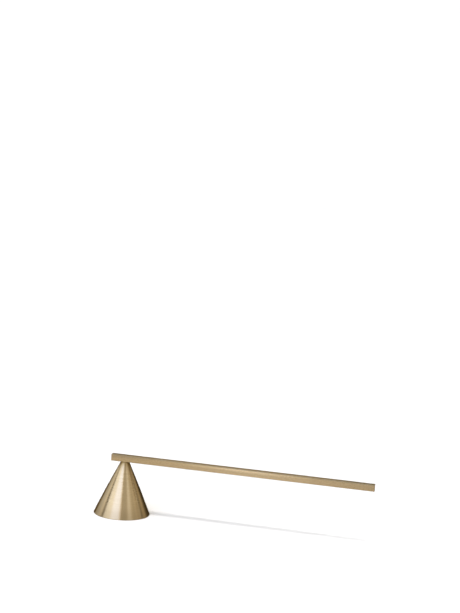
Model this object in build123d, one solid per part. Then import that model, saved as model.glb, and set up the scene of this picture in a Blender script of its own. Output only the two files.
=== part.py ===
from build123d import *

import os
from math import atan, cos

# Candle snuffer: a conical bell carried under one end of a slim square handle.
# Millimetres, +Z up. The origin is the middle of the bell's mouth, in the plane that the rim
# stands on. The handle lies along X, with its long end towards +X.

# Bell: a cone whose side bulges a little, bored out by a plain cone. Its solid top is crowned,
# then cut flat as the handle's seat. The diameters are at sharp corners, and the top one is at
# the seat's level. The bulge is at mid height, where the wall is thicker by as much.
mouth_diameter = 43.2
top_diameter = 6.4
side_bulge = 0.3
bell_height = 40.5
bell_wall = 2.5
top_thickness = 6.0
rim_edge_radius = 0.3
crown_radius = 2.5
seat_cut_depth = 0.2
ceiling_corner_radius = 0.6
spot_face_depth = 0.4
spot_face_clearance = 0.3

# Handle: a drawn square tube
handle_length = 202.0
handle_section = 5.0
handle_wall = 0.5
handle_overhang = 10.5
handle_edge_radius = 0.2
bore_corner_radius = 0.2

# Plugs: one in each end of the tube, flush with it
plug_length = 4.0
plug_clearance = 0.02
plug_edge_chamfer = 0.1

# Screw that holds the bell to the handle. The shares are of its diameter.
screw_diameter = 2.5
head_diameter_share = 1.8
head_height_share = 1.0
socket_width_share = 0.8
socket_depth_share = 0.5
head_edge_radius = 0.3
knurl_groove_radius = 0.11
knurl_groove_count = 24
screw_tip_chamfer = 0.3
screw_hole_clearance = 0.1

# Spring washer under the screw's head
washer_band = 1.25
washer_thickness = 0.6
washer_bore_clearance = 0.05
washer_slit_width = 0.5
washer_slit_lean = 20.0

# Threaded block in the tube, pulled down on the tube's floor by the screw
block_length = 10.0
block_clearance = 0.03
thread_clearance = 0.02
screw_tip_clearance = 0.7

# How far a cutter runs past what it cuts
overrun = 1.0

# The cones of the bell
mouth_radius = mouth_diameter / 2
top_radius = top_diameter / 2
cone_taper = (mouth_radius - top_radius) / bell_height
wall_across = bell_wall / cos(atan(cone_taper))
crown_level = bell_height + seat_cut_depth
ceiling_level = bell_height - top_thickness
screw_seat_level = ceiling_level + spot_face_depth

# The handle's ends, bore and levels
bell_end = -handle_overhang
grip_end = handle_length - handle_overhang
handle_middle = (bell_end + grip_end) / 2
handle_axis_level = bell_height + handle_section / 2
bore_section = handle_section - 2 * handle_wall
bore_floor_level = bell_height + handle_wall

# The screw and its washer, which hang from the seat in the bell
screw_radius = screw_diameter / 2
screw_hole_radius = screw_radius + screw_hole_clearance
head_radius = screw_radius * head_diameter_share
head_height = screw_diameter * head_height_share
washer_bore_radius = screw_radius + washer_bore_clearance
washer_radius = washer_bore_radius + washer_band
washer_level = screw_seat_level - washer_thickness
head_level = washer_level - head_height
screw_tip_level = bore_floor_level + bore_section - screw_tip_clearance


def outer_radius(level):
    """Radius of the bell's outside at a level above the rim, without its bulge."""
    return mouth_radius - cone_taper * level


def inner_radius(level):
    """Radius of the bell's inside at a level above the rim."""
    return outer_radius(level) - wall_across


def upright_cone(bottom_radius, end_radius, height):
    """A cone on the bell's axis that stands on the plane of the rim."""
    return Cone(bottom_radius, end_radius, height, align=(Align.CENTER, Align.CENTER, Align.MIN))


def bulged_cone(bottom_radius, end_radius, height, bulge):
    """An upright cone whose side is an arc, which stands out most at mid height."""
    bottom, end = (bottom_radius, 0), (end_radius, height)
    middle = ((bottom_radius + end_radius) / 2 + bulge, height / 2)
    side = ThreePointArc(bottom, middle, end)
    profile = make_face(side + Polyline(end, (0, height), (0, 0), bottom))
    return revolve(Plane.XZ * profile, Axis.Z)


def rod(radius, low, high):
    """A round bar on the bell's axis between two levels."""
    return Pos(0, 0, (low + high) / 2) * Cylinder(radius, high - low)


def lowest(shape):
    """The edges round the bottom of a turned shape."""
    return shape.edges().group_by(Axis.Z)[0]


def highest(shape):
    """The edges round the top of a turned shape."""
    return shape.edges().group_by(Axis.Z)[-1]


def square_bar(section, edge_radius, length, middle):
    """A square bar on the handle's axis, with its long edges rounded."""
    profile = Plane.YZ * RectangleRounded(section, section, edge_radius)
    bar = extrude(profile, length / 2, both=True)
    return Pos(middle, 0, handle_axis_level) * bar


def bell():
    """The cone that goes over the flame, with the screw's hole through its top."""
    outside = bulged_cone(mouth_radius, outer_radius(crown_level), crown_level, side_bulge)
    outside = fillet(highest(outside), crown_radius)
    hollow = upright_cone(inner_radius(0), inner_radius(ceiling_level), ceiling_level)
    hollow = fillet(highest(hollow), ceiling_corner_radius)
    turned = outside - hollow
    turned = fillet(lowest(turned), rim_edge_radius)
    turned -= rod(top_radius, bell_height, crown_level + overrun)
    spot_face_radius = max(washer_radius, head_radius) + spot_face_clearance
    turned -= rod(spot_face_radius, head_level, screw_seat_level)
    return turned - rod(screw_hole_radius, head_level, bell_height + overrun)


def handle_tube():
    """The square tube, with the screw's hole in its floor."""
    outside = square_bar(handle_section, handle_edge_radius, handle_length, handle_middle)
    bore_length = handle_length + 2 * overrun
    bore = square_bar(bore_section, bore_corner_radius, bore_length, handle_middle)
    return outside - bore - rod(screw_hole_radius, bell_height - overrun, bore_floor_level + overrun)


def end_plug(outer_end, inner_end):
    """A plug in the tube between two places along X, the first one flush with the tube's end."""
    section = bore_section - 2 * plug_clearance
    plug = square_bar(section, bore_corner_radius, plug_length, (outer_end + inner_end) / 2)
    ends = plug.faces().filter_by(Axis.X)
    return chamfer(ends.edges(), plug_edge_chamfer)


def threaded_block():
    """The block that stands on the tube's floor, with the screw's hole through it."""
    section = bore_section - 2 * block_clearance
    block = square_bar(section, bore_corner_radius, block_length, 0)
    seated = Pos(0, 0, -block_clearance) * block
    thread = rod(screw_radius + thread_clearance, bore_floor_level - overrun, screw_tip_level + overrun)
    return seated - thread


def bell_screw():
    """Cap screw with a knurled head and a hexagon socket, its tip up inside the tube."""
    head = rod(head_radius, head_level, washer_level)
    head = fillet(lowest(head), head_edge_radius)
    groove = rod(knurl_groove_radius, head_level + head_edge_radius, washer_level)
    head -= [place * groove for place in PolarLocations(head_radius, knurl_groove_count)]
    hexagon = RegularPolygon(screw_radius * socket_width_share, 6, major_radius=False)
    head -= Pos(0, 0, head_level) * extrude(hexagon, screw_diameter * socket_depth_share)
    shank = rod(screw_radius, washer_level, screw_tip_level)
    return head + chamfer(highest(shank), screw_tip_chamfer)


def spring_washer():
    """Split ring between the screw's head and its seat in the bell."""
    ring = rod(washer_radius, washer_level, screw_seat_level)
    ring -= rod(washer_bore_radius, washer_level, screw_seat_level)
    slit = Box(washer_radius, washer_slit_width, washer_thickness + 2 * overrun)
    place = Pos(washer_radius, 0, (washer_level + screw_seat_level) / 2)
    return ring - place * Rot(washer_slit_lean, 0, 0) * slit


pieces = {
    "bell": bell(),
    "handle_tube": handle_tube(),
    "bell_end_plug": end_plug(bell_end, bell_end + plug_length),
    "grip_end_plug": end_plug(grip_end, grip_end - plug_length),
    "threaded_block": threaded_block(),
    "bell_screw": bell_screw(),
    "spring_washer": spring_washer(),
}

os.makedirs("parts", exist_ok=True)
for name, piece in pieces.items():
    export_step(piece, f"parts/{name}.step")
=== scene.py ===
import math

import bmesh
import bpy
from mathutils import Matrix, Vector


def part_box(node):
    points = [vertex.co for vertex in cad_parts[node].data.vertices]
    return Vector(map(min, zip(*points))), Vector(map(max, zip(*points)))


# Looks of the candle snuffer, in metres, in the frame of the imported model: the bell's axis is Z,
# its rim stands on Z = 0, and the handle lies along +X.

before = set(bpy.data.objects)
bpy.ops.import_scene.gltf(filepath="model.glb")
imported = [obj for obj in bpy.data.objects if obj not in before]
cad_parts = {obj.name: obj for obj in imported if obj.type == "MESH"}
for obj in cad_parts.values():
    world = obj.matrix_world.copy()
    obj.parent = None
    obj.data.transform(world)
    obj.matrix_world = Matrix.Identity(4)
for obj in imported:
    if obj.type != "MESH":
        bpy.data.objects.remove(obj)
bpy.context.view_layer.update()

# Size of the photograph in pixels, and where it shows the middle of the bell's mouth
IMAGE_WIDTH = 460
IMAGE_HEIGHT = 613
MOUTH_PIXEL_X = 121.65
MOUTH_PIXEL_Y = 512.85

# Camera: its distance and direction from the bell's mouth, its lean and its lens
CAMERA_DISTANCE = 1.0
CAMERA_AZIMUTH = math.radians(15.1)
CAMERA_ELEVATION = math.radians(15.3)
CAMERA_ROLL = math.radians(3.12)
FOCAL_LENGTH_MM = 75.0
SENSOR_MM = 36.0

# Floor, and the white dome behind it
FLOOR_REACH = 12.0
FLOOR_PAPER = (0.935, 0.915, 0.89, 1)
BACKDROP_RADIUS = 30.0
BACKDROP_SUBDIVISIONS = 4
WHITE_LEVEL = 1.03

# Key lamp, which whitens the floor and casts the shadow. Its azimuth is from the camera's side.
KEY_STRENGTH = 1.65
KEY_ELEVATION = math.radians(77)
KEY_AZIMUTH = math.radians(-25)
KEY_SOFTNESS = math.radians(14)

# Fill lamp high beyond the handle's grip end, which thins the shadow out towards it
FILL_POWER = 2.7
FILL_PLACE = (0.28, 0.01, 0.5)
FILL_SPREAD = math.radians(49)
FILL_EDGE_SHARE = 1.0
FILL_RADIUS = 0.1

# Tints of what stands round the set
DAYLIGHT = (0.86, 1.0, 1.40)
LINEN = (0.93, 1.0, 1.12)
PAPER = (1.0, 1.0, 0.97)
CREAM = (1.04, 1.0, 0.88)
ROOM = (1.08, 1.0, 0.81)
SHADE = (1.16, 1.0, 0.71)
OAK = (1.16, 1.0, 0.60)

# The set above the horizon, which shows in the brass. A card reaches from one azimuth to another,
# in degrees from the camera's side and positive to its right, with a soft edge. Then come its
# level, where 1 is a white card, and its tint. Later cards stand in front of earlier ones.
BACK_WALL = (0.34, ROOM)
CARDS = [
    (-168, -140, 6, 0.20, ROOM),
    (-140, -92, 8, 0.85, LINEN),
    (-113, -93, 4, 1.03, PAPER),
    (-95, -84, 1, 0.08, OAK),
    (-84, -4, 2, 1.68, LINEN),
    (-50, -6, 7, 2.22, DAYLIGHT),
    (-11, -4, 4, 1.50, PAPER),
    (-5, 150, 1, 0.56, ROOM),
    (-4, 20, 3, 0.63, CREAM),
    (-4, 2, 1, 0.50, SHADE),
    (27, 56, 1, 0.74, ROOM),
    (28, 46, 2, 1.06, PAPER),
    (68, 150, 4, 0.73, ROOM),
    (95, 150, 1, 0.50, SHADE),
    (95.5, 103.5, 1, 0.02, SHADE),
    (126, 150, 6, 0.13, SHADE),
    (138, 168.7, 4, 0.03, SHADE),
]

# The table below the horizon, in the same terms
BACK_TABLE = (0.30, ROOM)
TABLE_CARDS = [
    (-172, -140, 4, 0.12, SHADE),
    (-60, -17, 6, 0.47, OAK),
    (-25.4, -23.6, 0.5, 1.15, PAPER),
    (120, 172, 10, 0.10, SHADE),
]

# The ceiling, and between which heights the table gives way to the set and the set to the ceiling.
# A height is the sine of an elevation.
CEILING = (0.58, PAPER)
HORIZON_FROM = -0.04
HORIZON_TO = 0.12
CEILING_FROM = 0.62
CEILING_TO = 0.90

# Bell, as turned: the radii of its mouth and its top at sharp corners, and its wall
MOUTH_RADIUS = 0.0216
TOP_RADIUS = 0.0032
BELL_WALL = 0.0025

# Colours of the metals
BRASS = (0.66, 0.515, 0.32, 1)
BRASS_DULL = (0.585, 0.445, 0.265, 1)
BRASS_WORN = (0.70, 0.56, 0.35, 1)
# Painted highlight on the handle's sides
BRASS_PAINTED_SHEEN = (0.80, 0.64, 0.43, 1)
# Painted shade, round the bell's mouth and under the handle
BRASS_PAINTED_SHADE = (0.53, 0.405, 0.245, 1)
# Painted reflection of the handle in the bell's top
BRASS_HANDLE_REFLECTION = (0.46, 0.335, 0.165, 1)
BRASS_DARKER_OVER_BELL = (0.46, 0.35, 0.215, 1)
# Painted shade of a broken upper edge, on the handle's sides
BRASS_PAINTED_EDGE_SHADE = (0.39, 0.305, 0.175, 1)
BRASS_BORED = (0.55, 0.42, 0.25, 1)
BRASS_SAWN = (0.62, 0.47, 0.26, 1)
STEEL = (0.60, 0.59, 0.57, 1)
STEEL_DULL = (0.50, 0.49, 0.47, 1)

# Tint of their gloss at a grazing angle
EDGE_TINT = (0.85, 0.72, 0.50, 1)

# Brushing: length and pitch of its fine and its broad streaks, and how deep they are
FINE_LENGTH = 0.012
FINE_PITCH = 0.00012
FINE_DEPTH = 0.000003
BROAD_LENGTH = 0.045
BROAD_PITCH = 0.0009
BROAD_DEPTH = 0.000004

# Size of the patches that are duller than the metal round them
PATINA_PATCH = 0.014

# Feed marks of the tool that bored the bell: their length, pitch and depth
FEED_LENGTH = 0.3
FEED_PITCH = 0.0004
FEED_DEPTH = 0.00001

# How far the metal is worn from an edge
WORN_WIDTH = 0.0003

# How far up from its mouth the bell has painted shade of the floor, and how far down from its top
# it has painted shade under the handle and a painted reflection of the handle
MOUTH_SHADE_HEIGHT = 0.012
TOP_SHADE_HEIGHT = 0.008
HANDLE_REFLECTION_HEIGHT = 0.005

# The sides of the handle have a painted highlight, a sheen, this far either way from its middle:
# fully down to the first depth from its top, and not at all below the second one
SHEEN_REACH = 0.068
SHEEN_FULL_DEPTH = 0.0010
SHEEN_END_DEPTH = 0.0028

# The handle's end over the bell is darker, this far along it and this far down
DARKER_REACH = 0.040
DARKER_DEPTH = 0.0035

# Painted shade: a dark line runs along the handle's sides just under its top, standing in for a
# broken edge that mirrors the dark ceiling
EDGE_SHADE_WIDTH = 0.00045

# Noise of the streaks, and the values between which it rises from 0 to 1
NOISE_DETAIL = 3.0
NOISE_ROUGHNESS = 0.6
NOISE_LOW = 0.3
NOISE_HIGH = 0.7

# What the streaks and the patches each add to how dull a place is
FINE_SHARE = 0.35
BROAD_SHARE = 0.35
PATINA_SHARE = 0.30

# Roughness of each finish, and the share of it that places of each kind have
BELL_ROUGHNESS = 0.26
HANDLE_ROUGHNESS = 0.19
FACED_ROUGHNESS = 0.34
SAWN_ROUGHNESS = 0.42
SCREW_ROUGHNESS = 0.30
WASHER_ROUGHNESS = 0.40
DULL_ROUGHNESS_SHARE = 1.16
WORN_ROUGHNESS_SHARE = 0.7
SHEEN_ROUGHNESS_SHARE = 0.95
DARKENED_ROUGHNESS_SHARE = 1.1
BORED_ROUGHNESS_SHARE = 1.35

# How far the grooves of each finish draw its gloss out, from 0 to 1
BRUSHED_ANISOTROPY = 0.93
FACED_ANISOTROPY = 0.7
SAWN_ANISOTROPY = 0.5
SCREW_ANISOTROPY = 0.6
WASHER_ANISOTROPY = 0.3

# A quarter turn lays the long way of the gloss across the grooves
GLOSS_TURN = 0.25


# Nodes

def new_material(name):
    """A node material without nodes."""
    material = bpy.data.materials.new(name)
    material.use_nodes = True
    material.node_tree.nodes.clear()
    return material


def node(tree, kind, inputs=None, **settings):
    """A node of a tree, with its settings, and its inputs as values or as sockets to link."""
    made = tree.nodes.new("ShaderNode" + kind)
    for name, value in settings.items():
        setattr(made, name, value)
    for key, value in (inputs or {}).items():
        if isinstance(value, bpy.types.NodeSocket):
            tree.links.new(value, made.inputs[key])
        else:
            made.inputs[key].default_value = value
    return made


def math_node(tree, operation, first, second=0.0):
    """The result of a calculation with one or two values or sockets."""
    return node(tree, "Math", {0: first, 1: second}, operation=operation).outputs[0]


def rest_of_one(tree, value):
    """What a value leaves of 1."""
    return math_node(tree, "SUBTRACT", 1.0, value)


def smooth_step(tree, value, low, high):
    """A smooth rise from 0 to 1 as the value goes from low to high."""
    inputs = {"Value": value, "From Min": low, "From Max": high}
    return node(tree, "MapRange", inputs, interpolation_type="SMOOTHSTEP").outputs["Result"]


def between(tree, factor, first, second):
    """A value that goes evenly from the first to the second as the factor goes from 0 to 1."""
    inputs = {"Value": factor, "To Min": first, "To Max": second}
    return node(tree, "MapRange", inputs).outputs["Result"]


def mix_colour(tree, factor, first, second):
    """A mix of two colours, the second one where the factor is 1."""
    mixer = node(tree, "Mix", data_type="RGBA")
    tree.links.new(factor, mixer.inputs["Factor"])
    for socket, value in ((mixer.inputs[6], first), (mixer.inputs[7], second)):
        if isinstance(value, bpy.types.NodeSocket):
            tree.links.new(value, socket)
        else:
            socket.default_value = value
    return mixer.outputs[2]


def link_surface(tree, shader, output_kind="OutputMaterial"):
    """Makes a shader the surface of its material or world."""
    output = node(tree, output_kind)
    tree.links.new(shader.outputs[0], output.inputs["Surface"])


# Camera

def seen_from_camera(right, ahead, up):
    """A vector given by its parts to the camera's right, level ahead of it and up, in the frame."""
    return Matrix.Rotation(CAMERA_AZIMUTH, 3, "Z") @ Vector((right, ahead, up))


def make_camera():
    """The camera that sees the middle of the bell's mouth at its pixel."""
    sin_tilt, cos_tilt = math.sin(CAMERA_ELEVATION), math.cos(CAMERA_ELEVATION)
    sin_roll, cos_roll = math.sin(CAMERA_ROLL), math.cos(CAMERA_ROLL)
    sight = seen_from_camera(0, cos_tilt, -sin_tilt)
    right = seen_from_camera(cos_roll, sin_roll * sin_tilt, sin_roll * cos_tilt)
    up = seen_from_camera(-sin_roll, cos_roll * sin_tilt, cos_roll * cos_tilt)

    # With these axes the mouth would be in the middle of the picture. The ray goes to its pixel.
    focal_pixels = FOCAL_LENGTH_MM / SENSOR_MM * IMAGE_HEIGHT
    ray = Vector((MOUTH_PIXEL_X - IMAGE_WIDTH / 2, MOUTH_PIXEL_Y - IMAGE_HEIGHT / 2, focal_pixels))
    ray.normalize()
    side = (Vector((1, 0, 0)) - ray * ray.x).normalized()
    to_pixel = Matrix((side, ray.cross(side), ray)).transposed()
    right, down, forward = to_pixel @ Matrix((right, -up, sight))

    camera = bpy.data.objects.new("camera", bpy.data.cameras.new("camera"))
    camera.data.lens = FOCAL_LENGTH_MM
    camera.data.sensor_width = SENSOR_MM
    axes = Matrix((right, -down, -forward)).transposed()
    camera.matrix_world = Matrix.Translation(-CAMERA_DISTANCE * sight) @ axes.to_4x4()
    bpy.context.scene.collection.objects.link(camera)
    bpy.context.scene.camera = camera


# Studio

def tone(level, tint):
    """A light colour of a level and a tint."""
    return (*(level * part for part in tint), 1)


def ring_of_cards(tree, azimuth, back, cards):
    """The tone of the cards that stand at an azimuth, in degrees."""
    colour = tone(*back)
    for start, end, edge, level, tint in cards:
        rise = smooth_step(tree, azimuth, start - edge, start + edge)
        fall = smooth_step(tree, azimuth, end - edge, end + edge)
        cover = math_node(tree, "SUBTRACT", rise, fall)
        colour = mix_colour(tree, cover, colour, tone(level, tint))
    return colour


def make_world():
    """The studio round the snuffer, which lights it and shows in its brass."""
    world = bpy.data.worlds.new("studio")
    world.use_nodes = True
    tree = world.node_tree
    tree.nodes.clear()
    direction = node(tree, "TexCoord").outputs["Generated"]
    turn = {"Vector": direction, "Angle": -CAMERA_AZIMUTH}
    turned = node(tree, "VectorRotate", turn, rotation_type="Z_AXIS")
    axes = node(tree, "SeparateXYZ", {0: turned.outputs[0]}).outputs
    towards_camera = math_node(tree, "MULTIPLY", axes["Y"], -1.0)
    angle = math_node(tree, "ARCTAN2", axes["X"], towards_camera)
    azimuth = math_node(tree, "DEGREES", angle)
    walls = ring_of_cards(tree, azimuth, BACK_WALL, CARDS)
    table = ring_of_cards(tree, azimuth, BACK_TABLE, TABLE_CARDS)
    above = smooth_step(tree, axes["Z"], HORIZON_FROM, HORIZON_TO)
    overhead = smooth_step(tree, axes["Z"], CEILING_FROM, CEILING_TO)
    colour = mix_colour(tree, above, table, walls)
    colour = mix_colour(tree, overhead, colour, tone(*CEILING))
    link_surface(tree, node(tree, "Background", {"Color": colour}), "OutputWorld")
    bpy.context.scene.world = world


def add_to_stage(name, mesh, shader_kind, inputs):
    """A piece of the set with a plain shader, which the brass doesn't see."""
    material = new_material(name)
    link_surface(material.node_tree, node(material.node_tree, shader_kind, inputs))
    mesh.materials.append(material)
    piece = bpy.data.objects.new(name, mesh)
    piece.visible_glossy = False
    bpy.context.scene.collection.objects.link(piece)
    return piece


def make_floor():
    """The plain pale floor. In its place, the brass sees the table of the world."""
    mesh = bpy.data.meshes.new("floor")
    reach = FLOOR_REACH
    corners = [(-reach, -reach, 0), (reach, -reach, 0), (reach, reach, 0), (-reach, reach, 0)]
    mesh.from_pydata(corners, [], [(0, 1, 2, 3)])
    add_to_stage("floor", mesh, "BsdfDiffuse", {"Color": FLOOR_PAPER})


def make_backdrop():
    """A white dome past the floor's edge, which only the camera sees."""
    mesh = bpy.data.meshes.new("backdrop")
    dome = bmesh.new()
    bmesh.ops.create_icosphere(dome, subdivisions=BACKDROP_SUBDIVISIONS, radius=BACKDROP_RADIUS)
    dome.to_mesh(mesh)
    dome.free()
    backdrop = add_to_stage("backdrop", mesh, "Emission", {"Strength": WHITE_LEVEL})
    backdrop.visible_diffuse = False
    backdrop.visible_shadow = False
    backdrop.visible_transmission = False


def add_lamp(name, lamp):
    """Puts up a lamp that the brass doesn't see."""
    holder = bpy.data.objects.new(name, lamp)
    holder.visible_glossy = False
    bpy.context.scene.collection.objects.link(holder)
    return holder


def make_key_light():
    """The soft lamp high over the snuffer, a little to the camera's left."""
    lamp = bpy.data.lights.new("key", "SUN")
    lamp.energy = KEY_STRENGTH
    lamp.angle = KEY_SOFTNESS
    key = add_lamp("key", lamp)
    level = math.cos(KEY_ELEVATION)
    right, ahead = math.sin(KEY_AZIMUTH) * level, -math.cos(KEY_AZIMUTH) * level
    towards_lamp = seen_from_camera(right, ahead, math.sin(KEY_ELEVATION))
    key.rotation_euler = towards_lamp.to_track_quat("Z", "Y").to_euler()


def make_fill_light():
    """The soft spotlight beyond the handle's grip end, which shines straight down."""
    lamp = bpy.data.lights.new("fill", "SPOT")
    lamp.energy = FILL_POWER
    lamp.spot_size = FILL_SPREAD
    lamp.spot_blend = FILL_EDGE_SHARE
    lamp.shadow_soft_size = FILL_RADIUS
    fill = add_lamp("fill", lamp)
    fill.location = FILL_PLACE
    fill.visible_camera = False


# Places on a piece

def object_axes(tree):
    """The place on a piece, along X, Y and Z."""
    return node(tree, "SeparateXYZ", {0: node(tree, "TexCoord").outputs["Object"]}).outputs


def face_axes(tree):
    """The way that a face points, without its relief, along X, Y and Z."""
    return node(tree, "SeparateXYZ", {0: node(tree, "NewGeometry").outputs["True Normal"]}).outputs


def from_the_axis(tree):
    """The level way from the bell's axis to a place."""
    axes = object_axes(tree)
    return node(tree, "CombineXYZ", {"X": axes["X"], "Y": axes["Y"]}).outputs[0]


def under_top(tree, name):
    """How far a place lies below the top of its piece."""
    low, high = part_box(name)
    return math_node(tree, "SUBTRACT", high[2], object_axes(tree)["Z"])


# Streaks of a finish: where a noise is read, for streaks of a length and a pitch

def stretched(tree, x, y, z):
    """The place on a piece, measured in its own length along each axis."""
    place = node(tree, "TexCoord").outputs["Object"]
    scale = (1 / x, 1 / y, 1 / z)
    return node(tree, "Mapping", {"Vector": place, "Scale": scale}).outputs[0]


def round_the_axis(tree, length, pitch):
    """Streaks that run round the bell's axis."""
    outward = node(tree, "VectorMath", {0: from_the_axis(tree)}, operation="NORMALIZE")
    spread = {0: outward.outputs[0], "Scale": MOUTH_RADIUS / length}
    round_it = node(tree, "VectorMath", spread, operation="SCALE")
    height = math_node(tree, "DIVIDE", object_axes(tree)["Z"], pitch)
    up = node(tree, "CombineXYZ", {"Z": height})
    return node(tree, "VectorMath", {0: round_it.outputs[0], 1: up.outputs[0]}).outputs[0]


def along_x(tree, length, pitch):
    """Streaks that run along the handle."""
    return stretched(tree, length, pitch, pitch)


def across_y(tree, length, pitch):
    """Streaks that run across the handle."""
    return stretched(tree, pitch, length, pitch)


# Which way the fine grooves run, for the shape of the gloss

def ring_grooves(tree):
    """Round the bell's axis."""
    return node(tree, "Tangent", direction_type="RADIAL", axis="Z").outputs[0]


def handle_grooves(tree):
    """Along X, and across the faces that point along X."""
    end_on = math_node(tree, "ABSOLUTE", face_axes(tree)["X"])
    return node(tree, "CombineXYZ", {"X": rest_of_one(tree, end_on), "Y": end_on}).outputs[0]


# Places that differ from the rest of their piece, from 0 to 1

def near(tree, distance, width):
    """A fall from 1 at no distance to 0 at a width."""
    return rest_of_one(tree, smooth_step(tree, distance, 0.0, width))


def upright(tree):
    """1 on the upright faces of a piece, and 0 on its level ones."""
    return rest_of_one(tree, math_node(tree, "ABSOLUTE", face_axes(tree)["Z"]))


def rim_wear(tree):
    """The bell's rim."""
    return near(tree, object_axes(tree)["Z"], WORN_WIDTH)


def edge_wear(tree, name):
    """The edges of a square piece: there, the second nearest of its faces is near."""
    axes = object_axes(tree)
    depths = []
    for axis, low, high in zip("XYZ", *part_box(name)):
        offset = math_node(tree, "SUBTRACT", axes[axis], (low + high) / 2)
        from_middle = math_node(tree, "ABSOLUTE", offset)
        depths.append(math_node(tree, "SUBTRACT", (high - low) / 2, from_middle))
    nearest = math_node(tree, "MINIMUM", depths[0], depths[1])
    farthest = math_node(tree, "MAXIMUM", depths[0], depths[1])
    second = math_node(tree, "MAXIMUM", nearest, math_node(tree, "MINIMUM", farthest, depths[2]))
    return near(tree, second, WORN_WIDTH)


def bell_painted_shade(tree):
    """Painted shade round the bell's mouth, as the floor's shade, and under the handle."""
    mouth = near(tree, object_axes(tree)["Z"], MOUTH_SHADE_HEIGHT)
    top = near(tree, under_top(tree, "bell"), TOP_SHADE_HEIGHT)
    return math_node(tree, "ADD", mouth, top)


def painted_handle_reflection(tree):
    """Painted reflection of the handle in the bell's top, which makes it more golden."""
    return near(tree, under_top(tree, "bell"), HANDLE_REFLECTION_HEIGHT)


def bell_inside(tree):
    """1 on the bored side of the bell's wall, and 0 on its outside."""
    low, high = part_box("bell")
    radius = node(tree, "VectorMath", {0: from_the_axis(tree)}, operation="LENGTH")
    height_share = math_node(tree, "DIVIDE", object_axes(tree)["Z"], high[2])
    outside = between(tree, height_share, MOUTH_RADIUS, TOP_RADIUS)
    depth = math_node(tree, "SUBTRACT", outside, radius.outputs["Value"])
    return smooth_step(tree, depth, 0.0, BELL_WALL)


def handle_darker_over_bell(tree):
    """The handle's end over the bell, most at its top."""
    low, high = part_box("handle_tube")
    from_end = math_node(tree, "SUBTRACT", object_axes(tree)["X"], low[0])
    over_bell = near(tree, from_end, DARKER_REACH)
    high_up = near(tree, under_top(tree, "handle_tube"), DARKER_DEPTH)
    return math_node(tree, "MULTIPLY", over_bell, high_up)


def painted_handle_sheen(tree):
    """Painted highlight: the upper part of the handle's upright faces, halfway along it."""
    low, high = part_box("handle_tube")
    along = math_node(tree, "SUBTRACT", object_axes(tree)["X"], (low[0] + high[0]) / 2)
    halfway = near(tree, math_node(tree, "ABSOLUTE", along), SHEEN_REACH)
    depth = smooth_step(tree, under_top(tree, "handle_tube"), SHEEN_FULL_DEPTH, SHEEN_END_DEPTH)
    sheen_band = math_node(tree, "MULTIPLY", halfway, rest_of_one(tree, depth))
    return math_node(tree, "MULTIPLY", upright(tree), sheen_band)


def painted_edge_shade(tree):
    """Painted shade: the dark line on the upright faces of the handle, just under its top."""
    high_up = math_node(tree, "LESS_THAN", under_top(tree, "handle_tube"), EDGE_SHADE_WIDTH)
    return math_node(tree, "MULTIPLY", upright(tree), high_up)


# Finishes

def streaks(tree, place):
    """A noise from 0 to 1, read at a place."""
    inputs = {"Vector": place, "Scale": 1.0, "Detail": NOISE_DETAIL, "Roughness": NOISE_ROUGHNESS}
    noise = node(tree, "TexNoise", inputs)
    return smooth_step(tree, noise.outputs["Fac"], NOISE_LOW, NOISE_HIGH)


class Finish:
    """The values that a brushed metal is made of, as sockets of its tree."""

    def __init__(self, name, bright, dull, way, roughness):
        """A metal, bright and dull, whose streaks run one way."""
        self.material = new_material(name)
        self.tree = tree = self.material.node_tree
        fine = streaks(tree, way(tree, FINE_LENGTH, FINE_PITCH))
        broad = streaks(tree, way(tree, BROAD_LENGTH, BROAD_PITCH))
        patina = streaks(tree, stretched(tree, PATINA_PATCH, PATINA_PATCH, PATINA_PATCH))
        dullness = math_node(tree, "MULTIPLY", fine, FINE_SHARE)
        for layer, share in ((broad, BROAD_SHARE), (patina, PATINA_SHARE)):
            dullness = math_node(tree, "ADD", dullness, math_node(tree, "MULTIPLY", layer, share))
        self.colour = mix_colour(tree, dullness, bright, dull)
        self.roughness = between(tree, dullness, roughness, roughness * DULL_ROUGHNESS_SHARE)
        coarse = node(tree, "Bump", {"Height": broad, "Distance": BROAD_DEPTH})
        relief = {"Height": fine, "Distance": FINE_DEPTH, "Normal": coarse.outputs[0]}
        self.normal = node(tree, "Bump", relief).outputs[0]

    def change(self, where, colour, roughness_share):
        """Gives the places where a factor is 1 another colour, and a share of the roughness."""
        self.colour = mix_colour(self.tree, where, self.colour, colour)
        share = between(self.tree, where, 1.0, roughness_share)
        self.roughness = math_node(self.tree, "MULTIPLY", self.roughness, share)

    def engrave(self, height, depth):
        """Adds a relief."""
        relief = {"Height": height, "Distance": depth, "Normal": self.normal}
        self.normal = node(self.tree, "Bump", relief).outputs[0]

    def done(self, grooves, anisotropy):
        """The material, whose gloss is drawn out across the grooves."""
        link_surface(self.tree, node(self.tree, "BsdfPrincipled", {
            "Base Color": self.colour, "Metallic": 1.0, "Roughness": self.roughness,
            "Specular Tint": EDGE_TINT, "Normal": self.normal, "Tangent": grooves(self.tree),
            "Anisotropic": anisotropy, "Anisotropic Rotation": GLOSS_TURN,
        }))
        return self.material


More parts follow.
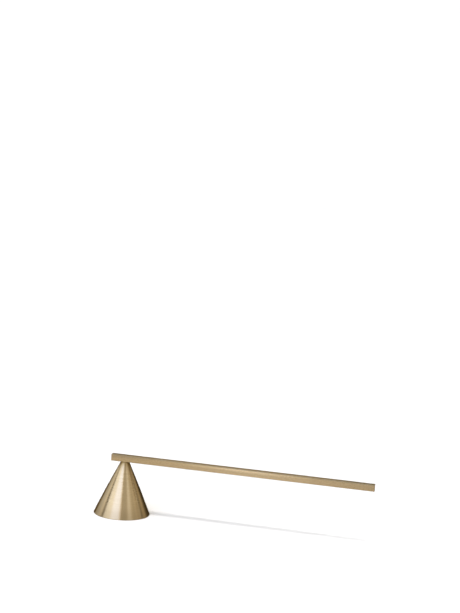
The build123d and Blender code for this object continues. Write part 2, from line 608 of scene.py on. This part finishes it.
def turned_brass():
    """The bell's: satin outside, with a painted reflection of the handle at its top and painted
    shade round its mouth and under the handle, worn along its rim, and bored with feed marks
    inside."""
    finish = Finish("turned_brass", BRASS, BRASS_DULL, round_the_axis, BELL_ROUGHNESS)
    tree = finish.tree
    # Painted shade round the bell's mouth and under the handle
    finish.change(bell_painted_shade(tree), BRASS_PAINTED_SHADE, DARKENED_ROUGHNESS_SHARE)
    # Painted reflection of the handle in the bell's top
    finish.change(painted_handle_reflection(tree), BRASS_HANDLE_REFLECTION, DARKENED_ROUGHNESS_SHARE)
    finish.change(rim_wear(tree), BRASS_WORN, WORN_ROUGHNESS_SHARE)
    inside = bell_inside(tree)
    finish.change(inside, BRASS_BORED, BORED_ROUGHNESS_SHARE)
    marks = streaks(tree, round_the_axis(tree, FEED_LENGTH, FEED_PITCH))
    finish.engrave(math_node(tree, "MULTIPLY", marks, inside), FEED_DEPTH)
    return finish.done(ring_grooves, BRUSHED_ANISOTROPY)


def drawn_brass():
    """The handle's: brushed lengthwise, worn along its edges, darker over the bell, with a painted
    highlight halfway along, and painted shade just under its top."""
    finish = Finish("drawn_brass", BRASS, BRASS_DULL, along_x, HANDLE_ROUGHNESS)
    tree = finish.tree
    finish.change(edge_wear(tree, "handle_tube"), BRASS_WORN, WORN_ROUGHNESS_SHARE)
    finish.change(handle_darker_over_bell(tree), BRASS_DARKER_OVER_BELL, DARKENED_ROUGHNESS_SHARE)
    # Painted highlight halfway along the handle's sides
    finish.change(painted_handle_sheen(tree), BRASS_PAINTED_SHEEN, SHEEN_ROUGHNESS_SHARE)
    # Painted shade just under the handle's top
    finish.change(painted_edge_shade(tree), BRASS_PAINTED_EDGE_SHADE, DARKENED_ROUGHNESS_SHARE)
    return finish.done(handle_grooves, BRUSHED_ANISOTROPY)


def faced_brass(name):
    """A plug's: faced across its end, and worn along its edges."""
    finish = Finish("faced_brass_" + name, BRASS, BRASS_DULL, across_y, FACED_ROUGHNESS)
    finish.change(edge_wear(finish.tree, name), BRASS_WORN, WORN_ROUGHNESS_SHARE)
    return finish.done(handle_grooves, FACED_ANISOTROPY)


def sawn_brass():
    """The threaded block's, as it comes off the bar."""
    finish = Finish("sawn_brass", BRASS_SAWN, BRASS_DULL, along_x, SAWN_ROUGHNESS)
    return finish.done(handle_grooves, SAWN_ANISOTROPY)


def turned_steel():
    """The screw's."""
    finish = Finish("turned_steel", STEEL, STEEL_DULL, round_the_axis, SCREW_ROUGHNESS)
    return finish.done(ring_grooves, SCREW_ANISOTROPY)


def spring_steel():
    """The spring washer's."""
    finish = Finish("spring_steel", STEEL, STEEL_DULL, round_the_axis, WASHER_ROUGHNESS)
    return finish.done(ring_grooves, WASHER_ANISOTROPY)


def dress_nodes():
    """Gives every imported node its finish."""
    finishes = {
        "bell": turned_brass(),
        "handle_tube": drawn_brass(),
        "bell_end_plug": faced_brass("bell_end_plug"),
        "grip_end_plug": faced_brass("grip_end_plug"),
        "threaded_block": sawn_brass(),
        "bell_screw": turned_steel(),
        "spring_washer": spring_steel(),
    }
    for name, material in finishes.items():
        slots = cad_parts[name].data.materials
        slots.clear()
        slots.append(material)


make_camera()
make_world()
make_floor()
make_backdrop()
make_key_light()
make_fill_light()
dress_nodes()

bpy.context.scene.view_settings.view_transform = "Standard"
